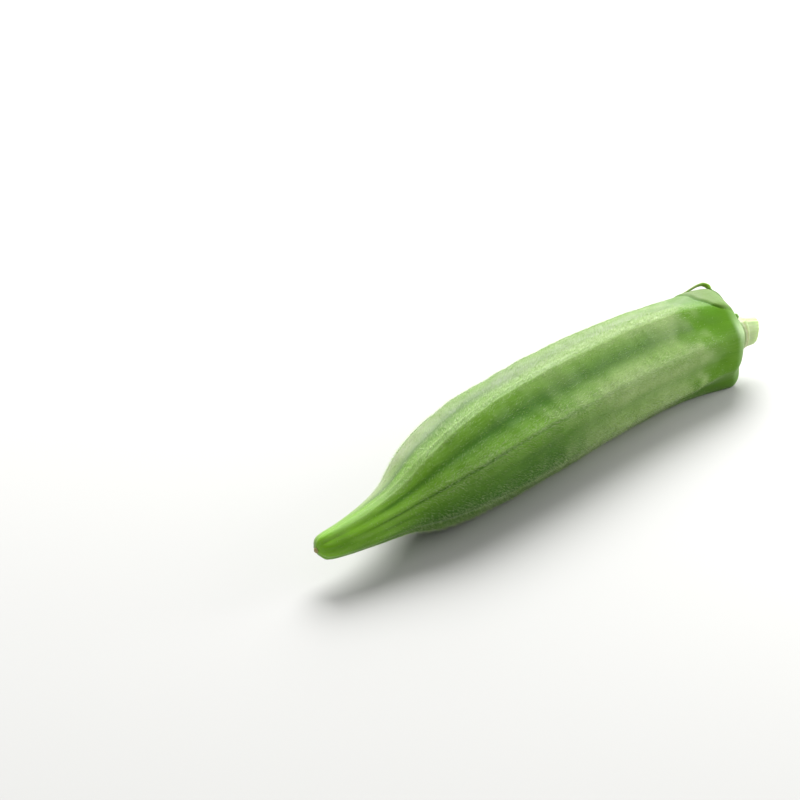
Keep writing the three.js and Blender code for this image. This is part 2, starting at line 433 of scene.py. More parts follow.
    def lip(self, s: Array, degrees: Array) -> tuple[Array, Array]:
        """The lip on the shoulder.

        Args:
            s: Distance along the axis.
            degrees: Angle round the axis.

        Returns:
            How far the lip has risen beyond its crease, 0 to 1, and how near the crease
            is, 1 in its middle. Both fade out at the lip's two ends.
        """
        turned = signed(degrees)
        wobble = self.lip_wobble * self.uneven.at(0, np.radians(turned))
        beyond = s - smooth(self.lip_crease, turned) - wobble
        first, full, last_full, last = self.lip_ends
        within = ease(first, full, turned) * ease(last, last_full, turned)
        fade = self.lip_fade.at(s)
        return (
            within * fade * ease(0, self.lip_slope, beyond),
            within * fade * bell(beyond, self.lip_crease_width),
        )

    def relief(self, s: Array, radius: Array, degrees: Array) -> Array:
        """Fine relief of the skin, in millimetres.

        The sum of a bell curve on each side of every crest, bulges spaced as the seeds
        are, widest on the faces, an uneven ripple, and the lip with its crease.

        Args:
            s: Distance along the axis.
            radius: Radius of the outline there.
            degrees: Angle round the axis.

        Returns:
            Height over the plain skin.
        """
        rib, _, phase, _ = self.between_ribs(degrees)
        angle = np.radians(degrees)
        away = self.crest_distance(radius, degrees)
        lines = bell(away - self.rib_line_offset, self.rib_line_width)
        row = s / self.seed_spacing + self.seed_stagger * rib
        row = row + self.seed_wander * self.seed_shift.at(s, angle)
        seeds = (0.5 + 0.5 * np.cos(2 * np.pi * row)) * np.sin(2 * np.pi * phase) ** 2
        lip, crease = self.lip(s, degrees)
        return (
            smooth(self.rib_line_height, s) * lines
            + smooth(self.seed_bulge, s) * seeds
            + smooth(self.unevenness, s) * self.uneven.at(s, angle)
            + self.lip_height * lip
            - self.lip_crease_depth * crease
        )

    def skin(self, s: Array, radius: Array, degrees: Array, fine: bool = True) -> Array:
        """Points of the skin.

        The radius less the furrow, swollen by the lobe that the rib ends in, is laid off
        from the axis at the angle and the ribs' twist. It is then pushed along the axis by
        the lobe's reach and by the beak's slanting cut. Nothing reaches below the table.

        Args:
            s: Distance along the axis.
            radius: Radius of the outline there.
            degrees: Angle round the axis, before the ribs' twist.
            fine: Whether the fine relief is added.

        Returns:
            Points in millimetres, in the grower's frame.
        """
        rib, following, phase, _ = self.between_ribs(degrees)
        share = 0.5 - 0.5 * np.cos(np.pi * phase)
        swell = mix(*[np.asarray(self.lobe_swell)[k] for k in (rib, following)], share)
        reach = mix(*[np.asarray(self.lobe_reach)[k] for k in (rib, following)], share)
        lobe = ease(self.lobe_start, self.lobe_full, s)
        depth = smooth(self.furrow_depth, s)
        cut = depth * self.furrow(phase, smooth(self.furrow_crease, s))
        distance = radius * (1 - cut) * (1 + lobe * swell)
        span = self.lobe_top_radius - self.lobe_root_radius
        top = np.clip((distance - self.lobe_root_radius) / span, 0, 1)
        beak = np.clip(1 - (s - self.start) / self.beak_slant_length, 0, 1)
        angle = np.radians(degrees + smooth(self.rib_twist, s))
        facing = 0.5 + 0.5 * np.cos(angle - math.radians(self.beak_slant_angle))
        slant = self.beak_slant * distance * beak * facing
        if fine:
            distance = distance + self.relief(s, radius, degrees)
        along, side, up = self.cross_section(s)
        points = (
            self.centre(s)
            + around(angle, side, up) * distance[..., None]
            + along * (reach * lobe * top + slant)[..., None]
        )
        points[..., 2] = np.maximum(points[..., 2], 0)
        return points

    def beak_end(self) -> Array:
        """The point at the beak's end."""
        start = np.array([self.start])
        return self.skin(start, 0 * start, 0 * start, fine=False)[0]

    def outline_places(self) -> Array:
        """Distance travelled along the outline's chords at each of its points."""
        steps = np.linalg.norm(np.diff(np.asarray(self.outline, float), axis=0), axis=1)
        return np.concatenate([[0.0], np.cumsum(steps)])

    def along_outline(self, place: Array) -> tuple[Array, Array]:
        """Distance along the axis and radius, at a distance travelled along the outline.

        Args:
            place: Distances travelled along the outline.

        Returns:
            Distances along the axis, and the outline's radii there.
        """
        places = self.outline_places()
        s, radius = np.asarray(self.outline, float).T
        return (
            smooth(tuple(zip(places, s)), place),
            smooth(tuple(zip(places, radius)), place),
        )

    def place_of(self, s: Array) -> Array:
        """Distance travelled along the outline at a distance along the axis."""
        tries = np.linspace(0, self.outline_places()[-1], self.outline_tries)
        return np.interp(s, self.along_outline(tries)[0], tries)

    def surface(self, place: Array, degrees: Array) -> Array:
        """Points of the skin at distances travelled along the outline."""
        s, radius = self.along_outline(place)
        return self.skin(s, radius, degrees)

    def surface_frame(self, place: Array, degrees: Array) -> tuple[Array, Array, Array]:
        """Points of the skin, the directions straight out of it and those along it.

        The directions come from the differences between points a little way apart.

        Args:
            place: Distances travelled along the outline.
            degrees: Angles round the axis.

        Returns:
            Points, outward directions and directions along the skin.
        """
        step, turn = self.probe_mm, self.probe_degrees
        point = self.surface(place, degrees)
        along = self.surface(place + step, degrees) - self.surface(place - step, degrees)
        across = self.surface(place, degrees + turn) - self.surface(place, degrees - turn)
        return point, unit(np.cross(across, along)), unit(along)

    def frame_rings(self) -> Array:
        """The frame's own coarse rings of points, whose box places this form in the row frame.

        Returns:
            Points in millimetres, as rings by points on a ring by three.
        """
        spacing, fewest, facets = 3.0, 2, 10
        places = self.outline_places()
        steps = [
            np.linspace(a, b, max(fewest, round((b - a) / spacing)) + 1)[1:]
            for a, b in zip(places[:-1], places[1:])
        ]
        ribs = self.rib_circle
        degrees = np.linspace(ribs[:-1], ribs[1:], facets, endpoint=False).T.ravel()
        s, radius = self.along_outline(np.concatenate(steps))
        s, radius, degrees = np.broadcast_arrays(s[:, None], radius[:, None], degrees)
        return self.skin(s, radius, degrees, fine=False)


POD = PodForm()


def row_shift() -> Array:
    """Millimetres from the grower's frame to the row frame: the pod's CAD box says where.

    Both frames stand on the table, so heights stay as they are.

    Returns:
        How far the pod is shifted along each axis.
    """
    low = np.asarray(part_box("pod")[0]) / MM
    mine = POD.frame_rings().reshape(-1, 3).min(axis=0)
    shift = low - mine
    shift[2] = 0
    return shift


ROW_SHIFT = row_shift()


def to_row(points: Array) -> Array:
    """Millimetres in the grower's frame to metres in the row frame."""
    return (points + ROW_SHIFT) * MM


# --- Meshes -------------------------------------------------------------------------


def make_piece(name: str, points: Array, corners: Array, sizes: Array) -> bpy.types.Object:
    """Puts points and faces into a new mesh object at the origin.

    Args:
        name: The piece's name.
        points: Vertices in metres, in the row frame.
        corners: Vertex numbers of every face, one face after another.
        sizes: Number of corners of each face.

    Returns:
        The smooth-shaded object, linked to the scene.
    """
    mesh = bpy.data.meshes.new(name)
    mesh.vertices.add(len(points))
    mesh.vertices.foreach_set("co", np.ascontiguousarray(points, np.float32).ravel())
    mesh.loops.add(len(corners))
    mesh.loops.foreach_set("vertex_index", np.ascontiguousarray(corners, np.int32))
    mesh.polygons.add(len(sizes))
    starts = np.concatenate([[0], np.cumsum(sizes)[:-1]]).astype(np.int32)
    mesh.polygons.foreach_set("loop_start", starts)
    mesh.polygons.foreach_set("use_smooth", np.ones(len(sizes), bool))
    mesh.update(calc_edges=True)
    piece = bpy.data.objects.new(name, mesh)
    bpy.context.scene.collection.objects.link(piece)
    return piece


def closed_piece(name: str, rings: Array, first: Array, last: Array) -> bpy.types.Object:
    """Joins rings of points into one closed piece between two end points.

    Quads join each ring to the next, and a fan of triangles closes each end. With the
    rings' points turning from up towards -Y as they go along +X, faces point outwards.

    Args:
        name: The piece's name.
        rings: Points in the grower's frame, as rings by points on a ring by three.
        first: The end point before the first ring.
        last: The end point after the last ring.

    Returns:
        The piece, at its place in the row frame.
    """
    count, sides = rings.shape[:2]
    points = np.concatenate([first[None], rings.reshape(-1, 3), last[None]])
    number = 1 + np.arange(count * sides).reshape(count, sides)
    turned = np.roll(number, -1, axis=1)
    quads = np.stack([number[:-1], turned[:-1], turned[1:], number[1:]], axis=-1)
    start = np.stack([np.zeros(sides, int), turned[0], number[0]], axis=-1)
    end = np.stack([np.full(sides, len(points) - 1), number[-1], turned[-1]], axis=-1)
    corners = np.concatenate([quads.ravel(), start.ravel(), end.ravel()])
    sizes = np.repeat([4, 3], [quads.size // 4, 2 * sides])
    return make_piece(name, to_row(points), corners, sizes)


def store(
    piece: bpy.types.Object, name: str, rings: Array, first: Array | float, last: Array | float
) -> None:
    """Stores one number or one vector for each vertex of a closed piece.

    Args:
        piece: The piece.
        name: The attribute's name, which its material reads.
        rings: The values on its rings of points.
        first: The value at the end point before them.
        last: The value at the end point after them.
    """
    kind, field = ("FLOAT_VECTOR", "vector") if np.ndim(first) else ("FLOAT", "value")
    values = np.concatenate([np.ravel(first), np.ravel(rings), np.ravel(last)])
    attribute = piece.data.attributes.new(name, kind, "POINT")
    attribute.data.foreach_set(field, values.astype(np.float32))


def report(piece: bpy.types.Object) -> None:
    """Logs a finished piece's name and size.

    Args:
        piece: The piece.
    """
    piece.data.calc_loop_triangles()
    sides = np.asarray(piece.dimensions) / MM
    LOG.info(
        "%s: %d vertices, %d triangles, %.1f x %.1f x %.1f mm",
        piece.name, len(piece.data.vertices), len(piece.data.loop_triangles), *sides,
    )


# --- Finishes -----------------------------------------------------------------------

# A colour Mix node's inputs and output, by number, because its names stand several times.
SHARE, FROM, TO, MIXED = 0, 6, 7, 2

Sockets = dict[str, bpy.types.NodeSocket]


def linear(hex_colour: str) -> tuple[float, float, float, float]:
    """An sRGB hex colour as the linear colour that shaders take."""
    values = [int(hex_colour.lstrip("#")[k : k + 2], 16) / 255 for k in (0, 2, 4)]
    return (*[v / 12.92 if v <= 0.04045 else ((v + 0.055) / 1.055) ** 2.4 for v in values], 1.0)


class Paint:
    """A material in the making: its nodes, and one Principled shader joined to its output."""

    def __init__(self, name: str) -> None:
        """Starts the material under its name.

        Args:
            name: The material's name.
        """
        self.material = bpy.data.materials.new(name)
        self.material.use_nodes = True
        self.tree = self.material.node_tree
        self.shader = self.tree.nodes["Principled BSDF"]

    def feed(self, node: bpy.types.Node, inputs: dict) -> None:
        """Links or sets a node's inputs.

        Args:
            node: The node.
            inputs: Input name or number to the socket that feeds it, to its value, or to
                its colour as sRGB hex.
        """
        for name, value in inputs.items():
            if isinstance(value, bpy.types.NodeSocket):
                self.tree.links.new(value, node.inputs[name])
            else:
                value = linear(value) if isinstance(value, str) else value
                node.inputs[name].default_value = value

    def add_node(self, kind: str, inputs: dict | None = None, **settings: object) -> bpy.types.Node:
        """Adds one shader node with its settings and links.

        Args:
            kind: The node's type, less the ShaderNode that each begins with.
            inputs: What feeds its inputs, as for feed.
            settings: The node's own settings.

        Returns:
            The node.
        """
        node = self.tree.nodes.new(f"ShaderNode{kind}")
        for name, value in settings.items():
            setattr(node, name, value)
        self.feed(node, inputs or {})
        return node

    def lay(self, base: str, layers: list[tuple[bpy.types.NodeSocket, str]]) -> None:
        """Gives the shader its colour: a base with other colours laid over it in turn.

        Args:
            base: The colour underneath.
            layers: For each colour, the share to which it covers those before, and itself.
        """
        colour: str | bpy.types.NodeSocket = base
        for share, over in layers:
            laid = self.add_node("Mix", {SHARE: share, FROM: colour, TO: over}, data_type="RGBA")
            colour = laid.outputs[MIXED]
        self.feed(self.shader, {"Base Color": colour})


@dataclass(frozen=True)
class FleshFinish:
    """What all fresh plant flesh shows: fine fibres along it, and light that sinks in.

    The fibres are a noise drawn out along the piece. They show as a second colour, whose
    share grows to fibre_most between two limits of the noise, and as a shallow relief.
    Real ones are under a tenth of a millimetre wide, too fine to show, so they are drawn
    as coarse as they need to be.
    """

    ior: float = 1.45
    roughness: float = 0.5
    fibre_mm: float = 0.3
    fibre_detail: float = 2.0
    fibre_shrink: float = 0.1
    fibre_limits: tuple[float, float] = (0.4, 0.7)
    fibre_most: float = 0.8
    relief_strength: float = 0.4
    relief_mm: float = 0.06
    subsurface: float = 0.2
    subsurface_tint: tuple[float, float, float] = (0.5, 1.0, 0.2)
    subsurface_mm: float = 0.8

    def start(self, name: str, stored: tuple[str, ...]) -> tuple[Paint, Sockets]:
        """Starts a material with its fibres, its relief and its plain values.

        Args:
            name: The material's name.
            stored: Names of the shares that the piece stores on its vertices.

        Returns:
            The material, and its sockets by name: what is stored, "straight" for the
            place on the piece laid straight, "fibre" for a share, and "relief".
        """
        paint = Paint(name)
        shown = {
            key: paint.add_node("Attribute", attribute_name=key).outputs["Fac"] for key in stored
        }
        straight = paint.add_node("Attribute", attribute_name="straight").outputs["Vector"]
        drawn_out = paint.add_node(
            "Mapping", {"Vector": straight, "Scale": (self.fibre_shrink, 1, 1)}
        )
        noise = paint.add_node(
            "TexNoise",
            {"Vector": drawn_out.outputs[0], "Scale": 1 / (self.fibre_mm * MM),
             "Detail": self.fibre_detail},
        ).outputs["Fac"]
        low, high = self.fibre_limits
        fibre = paint.add_node(
            "MapRange",
            {"Value": noise, "From Min": low, "From Max": high, "To Max": self.fibre_most},
        )
        relief = paint.add_node(
            "Bump",
            {"Height": noise, "Strength": self.relief_strength, "Distance": self.relief_mm * MM},
        )
        shown |= {"straight": straight, "fibre": fibre.outputs[0], "relief": relief.outputs[0]}
        paint.feed(paint.shader, {
            "Normal": shown["relief"],
            "Roughness": self.roughness,
            "IOR": self.ior,
            "Subsurface Weight": self.subsurface,
            "Subsurface Radius": self.subsurface_tint,
            "Subsurface Scale": self.subsurface_mm * MM,
        })
        return paint, shown


@dataclass(frozen=True)
class OkraSkinFinish(FleshFinish):
    """Fresh okra skin: a thin waxy cuticle over green flesh, matt from its down.

    It gives the eye a soft satin green with pale lines on the ribs, partly a painted
    highlight, furrows, a belly and a line on each crest darkened as painted shade, cloudy
    patches a few millimetres across, and a whitish bloom towards the stalk that is partly
    painted light. A painted sheen lies on the side that faces up, painted shade on the
    shoulder, in its fold and crease and behind the beak's tip, and the lip is painted paler
    as a highlight. The grain stands for the skin's cells, and is drawn coarser than they are
    so that it shows.
    """

    body: str = "#5a8616"
    beak: str = "#7ab420"
    shade: str = "#446f12"
    fibre: str = "#8fb162"
    # Pale crest lines, partly a painted highlight.
    rib: str = "#8fb162"
    # Painted shade in the furrows and on the belly.
    furrow: str = "#34600e"
    # Painted shadow: a dark line along the crests.
    line: str = "#2f5a0c"
    # Whitish bloom, partly real bloom and partly painted light.
    bloom: str = "#94ac6c"
    # Painted sheen on the side that faces up.
    frost: str = "#aaae96"
    # The shoulder's darker green, partly its own and partly painted shade.
    shoulder: str = "#4f7b12"
    # Painted shade in the fold before the lip and in the hollow behind the beak's tip.
    fold: str = "#3f7208"
    # Paler lip: a painted highlight where the lip faces up.
    lip: str = "#687e48"
    # Painted shadow in the lip's crease.
    crease: str = "#325c08"
    collar: str = "#9cb984"
    hair_base: str = "#78a038"
    roughness: float = 0.42
    beak_roughness: float = 0.4
    specular: float = 0.13
    shoulder_specular: float = 0.04
    sheen: float = 0.15
    sheen_roughness: float = 0.35
    sheen_tint: str = "#f4f8e6"
    fibre_mm: float = 0.45
    fibre_shrink: float = 0.09
    fibre_limits: tuple[float, float] = (0.35, 0.75)
    fibre_most: float = 0.32
    relief_strength: float = 0.6
    relief_mm: float = 0.07
    subsurface: float = 0.1
    patch_mm: float = 6.0
    patch_detail: float = 3.0
    patch_roughness: float = 0.55
    patch_shrink: float = 0.4
    patch_limits: tuple[float, float] = (0.42, 0.68)
    patch_most: float = 0.8
    cloud_limits: tuple[float, float] = (0.3, 0.6)
    cloud_least: float = 0.55
    hair_spacing_mm: float = 0.55
    hair_limits: tuple[float, float] = (0.32, 0.1)
    hair_most: float = 0.32
    grain_mm: float = 0.22
    grain_detail: float = 1.0
    grain_strength: float = 0.45
    grain_relief_mm: float = 0.05

    # The shares that the skin stores, those that clouds break up, and the colours in the
    # order in which they are laid over the body, each by the share of its own name.
    stored: tuple[str, ...] = (
        "beak", "rib", "furrow", "line", "bloom", "frost", "shoulder", "fold", "lip",
        "crease", "collar",
    )
    clouded: tuple[str, ...] = ("bloom", "frost", "shoulder", "fold", "lip", "collar")
    order: tuple[str, ...] = (
        "beak", "shade", "fibre", "rib", "furrow", "bloom", "frost", "line", "hair_base",
        "shoulder", "fold", "lip", "crease", "collar",
    )

    def dress(self, piece: bpy.types.Object) -> None:
        """Gives the skin its material. Patterns follow the pod as if it lay straight.

        Args:
            piece: The skin.
        """
        paint, shown = self.start("okra_skin", self.stored)
        straight = shown["straight"]
        drawn_out = paint.add_node(
            "Mapping", {"Vector": straight, "Scale": (self.patch_shrink, 1, 1)}
        )
        patches = paint.add_node(
            "TexNoise",
            {"Vector": drawn_out.outputs[0], "Scale": 1 / (self.patch_mm * MM),
             "Detail": self.patch_detail, "Roughness": self.patch_roughness},
        ).outputs["Fac"]
        hairs = paint.add_node(
            "TexVoronoi", {"Vector": straight, "Scale": 1 / (self.hair_spacing_mm * MM)}
        ).outputs["Distance"]
        grain = paint.add_node(
            "TexNoise",
            {"Vector": straight, "Scale": 1 / (self.grain_mm * MM), "Detail": self.grain_detail},
        ).outputs["Fac"]
        whole = (0.0, 1.0)
        for name, value, limits, ends, step in (
            ("shade", patches, self.patch_limits, (0.0, self.patch_most), "SMOOTHSTEP"),
            ("cloud", patches, self.cloud_limits, (self.cloud_least, 1.0), "LINEAR"),
            ("hair_base", hairs, self.hair_limits, (0.0, self.hair_most), "LINEAR"),
            ("wax", shown["beak"], whole, (self.roughness, self.beak_roughness), "LINEAR"),
            ("gloss", shown["shoulder"], whole, (self.specular, self.shoulder_specular), "LINEAR"),
        ):
            names = ("Value", "From Min", "From Max", "To Min", "To Max")
            inputs = dict(zip(names, (value, *limits, *ends)))
            shown[name] = paint.add_node("MapRange", inputs, interpolation_type=step).outputs[0]
        for name in self.clouded:
            broken = paint.add_node(
                "Math", {0: shown[name], 1: shown["cloud"]}, operation="MULTIPLY"
            )
            shown[name] = broken.outputs[0]
        paint.lay(self.body, [(shown[name], getattr(self, name)) for name in self.order])
        grained = paint.add_node(
            "Bump",
            {"Height": grain, "Strength": self.grain_strength,
             "Distance": self.grain_relief_mm * MM, "Normal": shown["relief"]},
        )
        paint.feed(paint.shader, {
            "Normal": grained.outputs[0],
            "Roughness": shown["wax"],
            "Specular IOR Level": shown["gloss"],
            "Sheen Weight": self.sheen,
            "Sheen Roughness": self.sheen_roughness,
            "Sheen Tint": self.sheen_tint,
        })
        piece.data.materials.append(paint.material)


@dataclass(frozen=True)
class DownFinish:
    """Plant down: fine clear hairs, pale where light passes them and else as green as skin."""

    name: str
    colour: str
    ior: float = 1.5
    roughness: float = 0.45
    specular: float = 0.2

    def dress(self, piece: bpy.types.Object) -> None:
        """Gives hairs one plain pale finish: each is too fine to show a pattern.

        Args:
            piece: The coat of hairs.
        """
        paint = Paint(self.name)
        paint.feed(paint.shader, {
            "Base Color": self.colour,
            "Roughness": self.roughness,
            "IOR": self.ior,
            "Specular IOR Level": self.specular,
        })
        piece.data.materials.append(paint.material)


@dataclass(frozen=True)
class StalkFinish(FleshFinish):
    """Fresh stalk flesh: pale green bark with fine fibres, and a ring and a cut still paler."""

    bark: str = "#a9bb86"
    fibre: str = "#9bb270"
    ring: str = "#c2c8a4"
    ring_edge: str = "#b9a686"
    cut: str = "#b7c198"
    pith: str = "#c6cba8"
    ior: float = 1.42
    roughness: float = 0.55
    fibre_mm: float = 0.35
    fibre_most: float = 0.45
    relief_strength: float = 0.25
    relief_mm: float = 0.08
    subsurface: float = 0.6
    subsurface_tint: tuple[float, float, float] = (0.8, 1.0, 0.5)
    subsurface_mm: float = 2.5
    stored: tuple[str, ...] = ("cut", "pith", "ring", "ring_edge")

    def dress(self, piece: bpy.types.Object) -> None:
        """Gives the stub its material: fibres on the bark, then what its vertices store.

        Args:
            piece: The stub.
        """
        paint, shown = self.start("stalk_flesh", self.stored)
        order = ("fibre", *self.stored)
        paint.lay(self.bark, [(shown[name], getattr(self, name)) for name in order])
        piece.data.materials.append(paint.material)


@dataclass(frozen=True)
class BracteoleFinish(FleshFinish):
    """A fresh leaf strip: bright green and satin, with fine veins and a paler drying tip.

    The root's and the tip's colours come in between two shares of the strip's length.
    """

    blade: str = "#7fae22"
    vein: str = "#9cba5c"
    root: str = "#7c9a4c"
    tip: str = "#8fa65e"
    root_limits: tuple[float, float] = (0.38, 0.3)
    tip_limits: tuple[float, float] = (0.52, 0.68)

    def dress(self, piece: bpy.types.Object) -> None:
        """Gives the strip its material; how far along it lies is stored on its vertices.

        Args:
            piece: The strip.
        """
        paint, shown = self.start("bracteole_leaf", ("along",))
        layers = [(shown["fibre"], self.vein)]
        for (low, high), colour in ((self.root_limits, self.root), (self.tip_limits, self.tip)):
            share = paint.add_node(
                "MapRange", {"Value": shown["along"], "From Min": low, "From Max": high}
            )
            layers.append((share.outputs[0], colour))
        paint.lay(self.blade, layers)
        piece.data.materials.append(paint.material)


@dataclass(frozen=True)
class ScarFinish:
    """Dried plant tissue: beige, matt and a little rough, where the flower's style broke off."""

    colour: str = "#b5a878"
    dark: str = "#96894f"
    roughness: float = 0.8
    grain_mm: float = 0.15

    def dress(self, piece: bpy.types.Object) -> None:
        """Gives the scar its mottled beige.

        Args:
            piece: The scar.
        """
        paint = Paint("dry_scar")
        place = paint.add_node("TexCoord").outputs["Object"]
        grain = paint.add_node("TexNoise", {"Vector": place, "Scale": 1 / (self.grain_mm * MM)})
        paint.lay(self.colour, [(grain.outputs["Fac"], self.dark)])
        paint.feed(paint.shader, {"Roughness": self.roughness})
        piece.data.materials.append(paint.material)


@dataclass(frozen=True)
class FloorFinish:
    """A matt white studio sweep."""

    colour: str = "#bebebc"
    roughness: float = 0.9
    specular: float = 0.1

    def dress(self, piece: bpy.types.Object) -> None:
        """Gives the floor its plain white.

        Args:
            piece: The floor.
        """
        paint = Paint("studio_white")
        paint.feed(paint.shader, {
            "Base Color": self.colour,
            "Roughness": self.roughness,
            "Specular IOR Level": self.specular,
        })
        piece.data.materials.append(paint.material)


# --- Sub-assemblies -----------------------------------------------------------------


@dataclass(frozen=True)
class SkinPatterns:
    """How strongly each pattern shows on the skin, 0 to 1.

    Stations and ramps run along the pod's axis, in millimetres, unless a comment says
    otherwise. Shares are one for each rib, or for the gap after it, in the order of the
    ribs. Widths are those of bell curves: in millimetres across a crest, and as a share
    of the gap across a furrow.
    """

    # The beak's fresher green, and a streak of it on the side face that is painted light.
    beak_reach: Ramp = Ramp(8, 30, 1, 0)
    beak_tip: Ramp = Ramp(2, 8, 0.85, 0.65)
    painted_light_streak: Band = Band(64, 13, rise=(30, 42), fall=(60, 82), strength=0.3)

    # Pale lines beside the crests with a pale band on them, partly a painted highlight and
    # fullest on the crests that face up; furrows and the belly darkened with painted shade;
    # and a painted shadow line on each crest. A furrow is narrower where it is a crease.
    rib_tone: Stations = (
        (0, 0.1), (8, 0.35), (20, 0.85), (32, 0.8), (46, 0.55), (70, 0.4), (106, 0.1),
    )
    rib_share: tuple[float, ...] = (1, 0.35, 0.4, 0.4, 0.6, 0.6, 1)
    rib_line_width: float = 0.28
    rib_band_width: float = 1.3
    rib_band_part: float = 0.45
    furrow_tone: Stations = (
        (0, 0.1), (6, 0.1), (9, 0.3), (14, 0.85), (24, 0.8), (36, 0.9), (60, 0.95), (98, 0.75),
        (106, 0.6), (112, 0.1),
    )
    furrow_share: tuple[float, ...] = (1, 0.7, 0.7, 0.7, 0.7, 0.7, 1)
    furrow_width: tuple[float, float] = (0.25, 0.06)
    # Painted shade on the belly.
    belly: Band = Band(110, 30, rise=(9, 22), fall=(54, 88), strength=0.92)
    line_tone: Stations = (
        (2, 0), (8, 0.4), (14, 0.75), (30, 0.75), (46, 0.5), (62, 0.2), (100, 0),
    )
    line_share: tuple[float, ...] = (0, 1, 0.6, 0.5, 0.5, 0.5, 0.1)
    line_width: float = 0.2

    # Painted sheen on the side that faces up, which widens and turns towards the stalk.
    painted_sheen_onset: Ramp = Ramp(4, 14, 0.5, 0.9)
    painted_sheen_thinning: Ramp = Ramp(14, 48, 1, 0.36)
    painted_sheen_return: Ramp = Ramp(90, 98, 0, 0.1)
    painted_sheen_end: Ramp = Ramp(105, 112, 1, 0)
    painted_sheen_angle: Ramp = Ramp(30, 60, -40, -24)
    painted_sheen_width: Ramp = Ramp(30, 60, 22, 34)

    # Bloom on the half towards the stalk, partly real bloom and partly painted light, with
    # clouded ends: fullest on the crests and, as painted light, on the flank; thin on top;
    # and left out in one valley and in a spot at its end, which leaves painted shade there.
    bloom_and_light_start: Ramp = Ramp(46, 76)
    bloom_and_light_end: Ramp = Ramp(93, 107, 1, 0)
    bloom_and_light_by_crest: tuple[float, float] = (0.45, 0.95)
    bloom_and_light_crest_width: float = 2.8
    bare_top: Band = Band(-32, 34, strength=0.45)
    valley: Band = Band(28, 12, rise=(58, 66), fall=(84, 94), strength=0.95)
    valley_end: Spot = Spot(35, 9, place=99, reach=4, strength=0.665)
    flank: Band = Band(75, 18, rise=(62, 74), fall=(99, 108))
    # Painted light on the flank.
    flank_painted_light: float = 0.95
    cloud_edge: Ripple = Ripple(seed=8, longest_mm=24, shortest_mm=4, most_turns=14, waves=30)
    cloud_drift_mm: float = 2.2

    # The bare green shoulder, partly its own darker green and partly painted shade, which is
    # weaker on the flank, low on the side and on top. Then painted shade in its fold, the lip
    # paler as a painted highlight, painted shadow in its crease, painted shade in a hollow
    # behind the beak's tip, and the collar round the stub. The crease's ramp runs round the
    # pod, in degrees.
    shoulder_start: Ramp = Ramp(94, 105)
    shoulder_off_flank: float = 0.85
    shoulder_low: Band = Band(72, 26, rise=(100, 108), strength=0.45)
    shoulder_high: Band = Band(-20, 26, fall=(105, 111), strength=0.45)
    # Painted shade in the fold before the lip, and in a hollow behind the beak's tip.
    fold: Spot = Spot(4, 32, place=107, reach=4.5, strength=0.7)
    hollow: Spot = Spot(74, 15, place=1.5, reach=3.5, strength=0.5)
    # The lip is painted paler, as a highlight.
    lip_strength: float = 0.9
    # Painted shadow in the crease.
    crease_round: Ramp = Ramp(-35, 5, 0.45, 0.95)
    collar_start: Ramp = Ramp(110.6, 112.6)
    collar_strength: tuple[float, float] = (0.15, 0.9)
    collar_middle: Band = Band(55, 15)

    def at(self, form: PodForm, s: Array, radius: Array, degrees: Array) -> dict[str, Array]:
        """Reads every pattern at points of the skin.

        Args:
            form: The pod's form.
            s: Distance along the axis of each point.
            radius: Radius of the outline there.
            degrees: Angle round the axis.

        Returns:
            The patterns by the names that the skin's material reads.
        """
        gap, _, phase, _ = form.between_ribs(degrees)
        nearest = form.nearest_rib(degrees)
        turned = signed(degrees)
        away = form.crest_distance(radius, degrees)
        down_away = form.crest_distance(radius, degrees + form.down_turn)
        drift = s + self.cloud_drift_mm * self.cloud_edge.at(s, np.radians(degrees))

        rib = smooth(self.rib_tone, s) * np.asarray(self.rib_share)[nearest]
        lines = bell(away - form.rib_line_offset, self.rib_line_width)
        band = bell(down_away, self.rib_band_width)
        furrow_width = mix(*self.furrow_width, smooth(form.furrow_crease, s))
        furrow = smooth(self.furrow_tone, s) * np.asarray(self.furrow_share)[gap]
        furrow = furrow * bell(phase - 0.5, furrow_width)
        line = smooth(self.line_tone, s) * np.asarray(self.line_share)[nearest]

        # Painted sheen on the side that faces up.
        frost = self.painted_sheen_onset.at(s) * self.painted_sheen_thinning.at(s) + self.painted_sheen_return.at(s)
        painted_sheen_side = bell(turned - self.painted_sheen_angle.at(s), self.painted_sheen_width.at(s))

        flank = self.flank.at(s, turned)
        # Painted shade: the bloom is left out in one valley and in a spot at its end.
        painted_valley_shade = np.maximum(self.valley.at(s, turned), self.valley_end.at(s, turned))
        bloom = self.bloom_and_light_start.at(drift) * self.bloom_and_light_end.at(drift) * (1 - painted_valley_shade)
        bloom = bloom * mix(*self.bloom_and_light_by_crest, bell(down_away, self.bloom_and_light_crest_width))
        bloom = bloom * (1 - self.bare_top.at(s, turned))

        # Partly painted shade on the shoulder.
        ends = np.maximum(self.shoulder_low.at(s, turned), self.shoulder_high.at(s, turned))
        shoulder = self.shoulder_start.at(drift) * (1 - ends)
        lip, crease = form.lip(s, degrees)
        collar = mix(*self.collar_strength, self.collar_middle.at(s, turned))
        return {
            "beak": np.maximum(
                self.beak_reach.at(s) * self.beak_tip.at(s), self.painted_light_streak.at(s, turned)
            ),
            "rib": rib * mix(lines, band, self.rib_band_part),
            "furrow": np.maximum(furrow, self.belly.at(s, turned)),
            "line": line * bell(away, self.line_width),
            "bloom": np.maximum(bloom, self.flank_painted_light * flank),
            "frost": frost * self.painted_sheen_end.at(s) * painted_sheen_side,
            "shoulder": shoulder * (1 - self.shoulder_off_flank * flank),
            "fold": self.fold.at(s, turned) * (1 - lip) + self.hollow.at(s, turned),
            "lip": self.lip_strength * lip,
            "crease": crease * self.crease_round.at(turned),
            "collar": self.collar_start.at(s) * collar,
        }


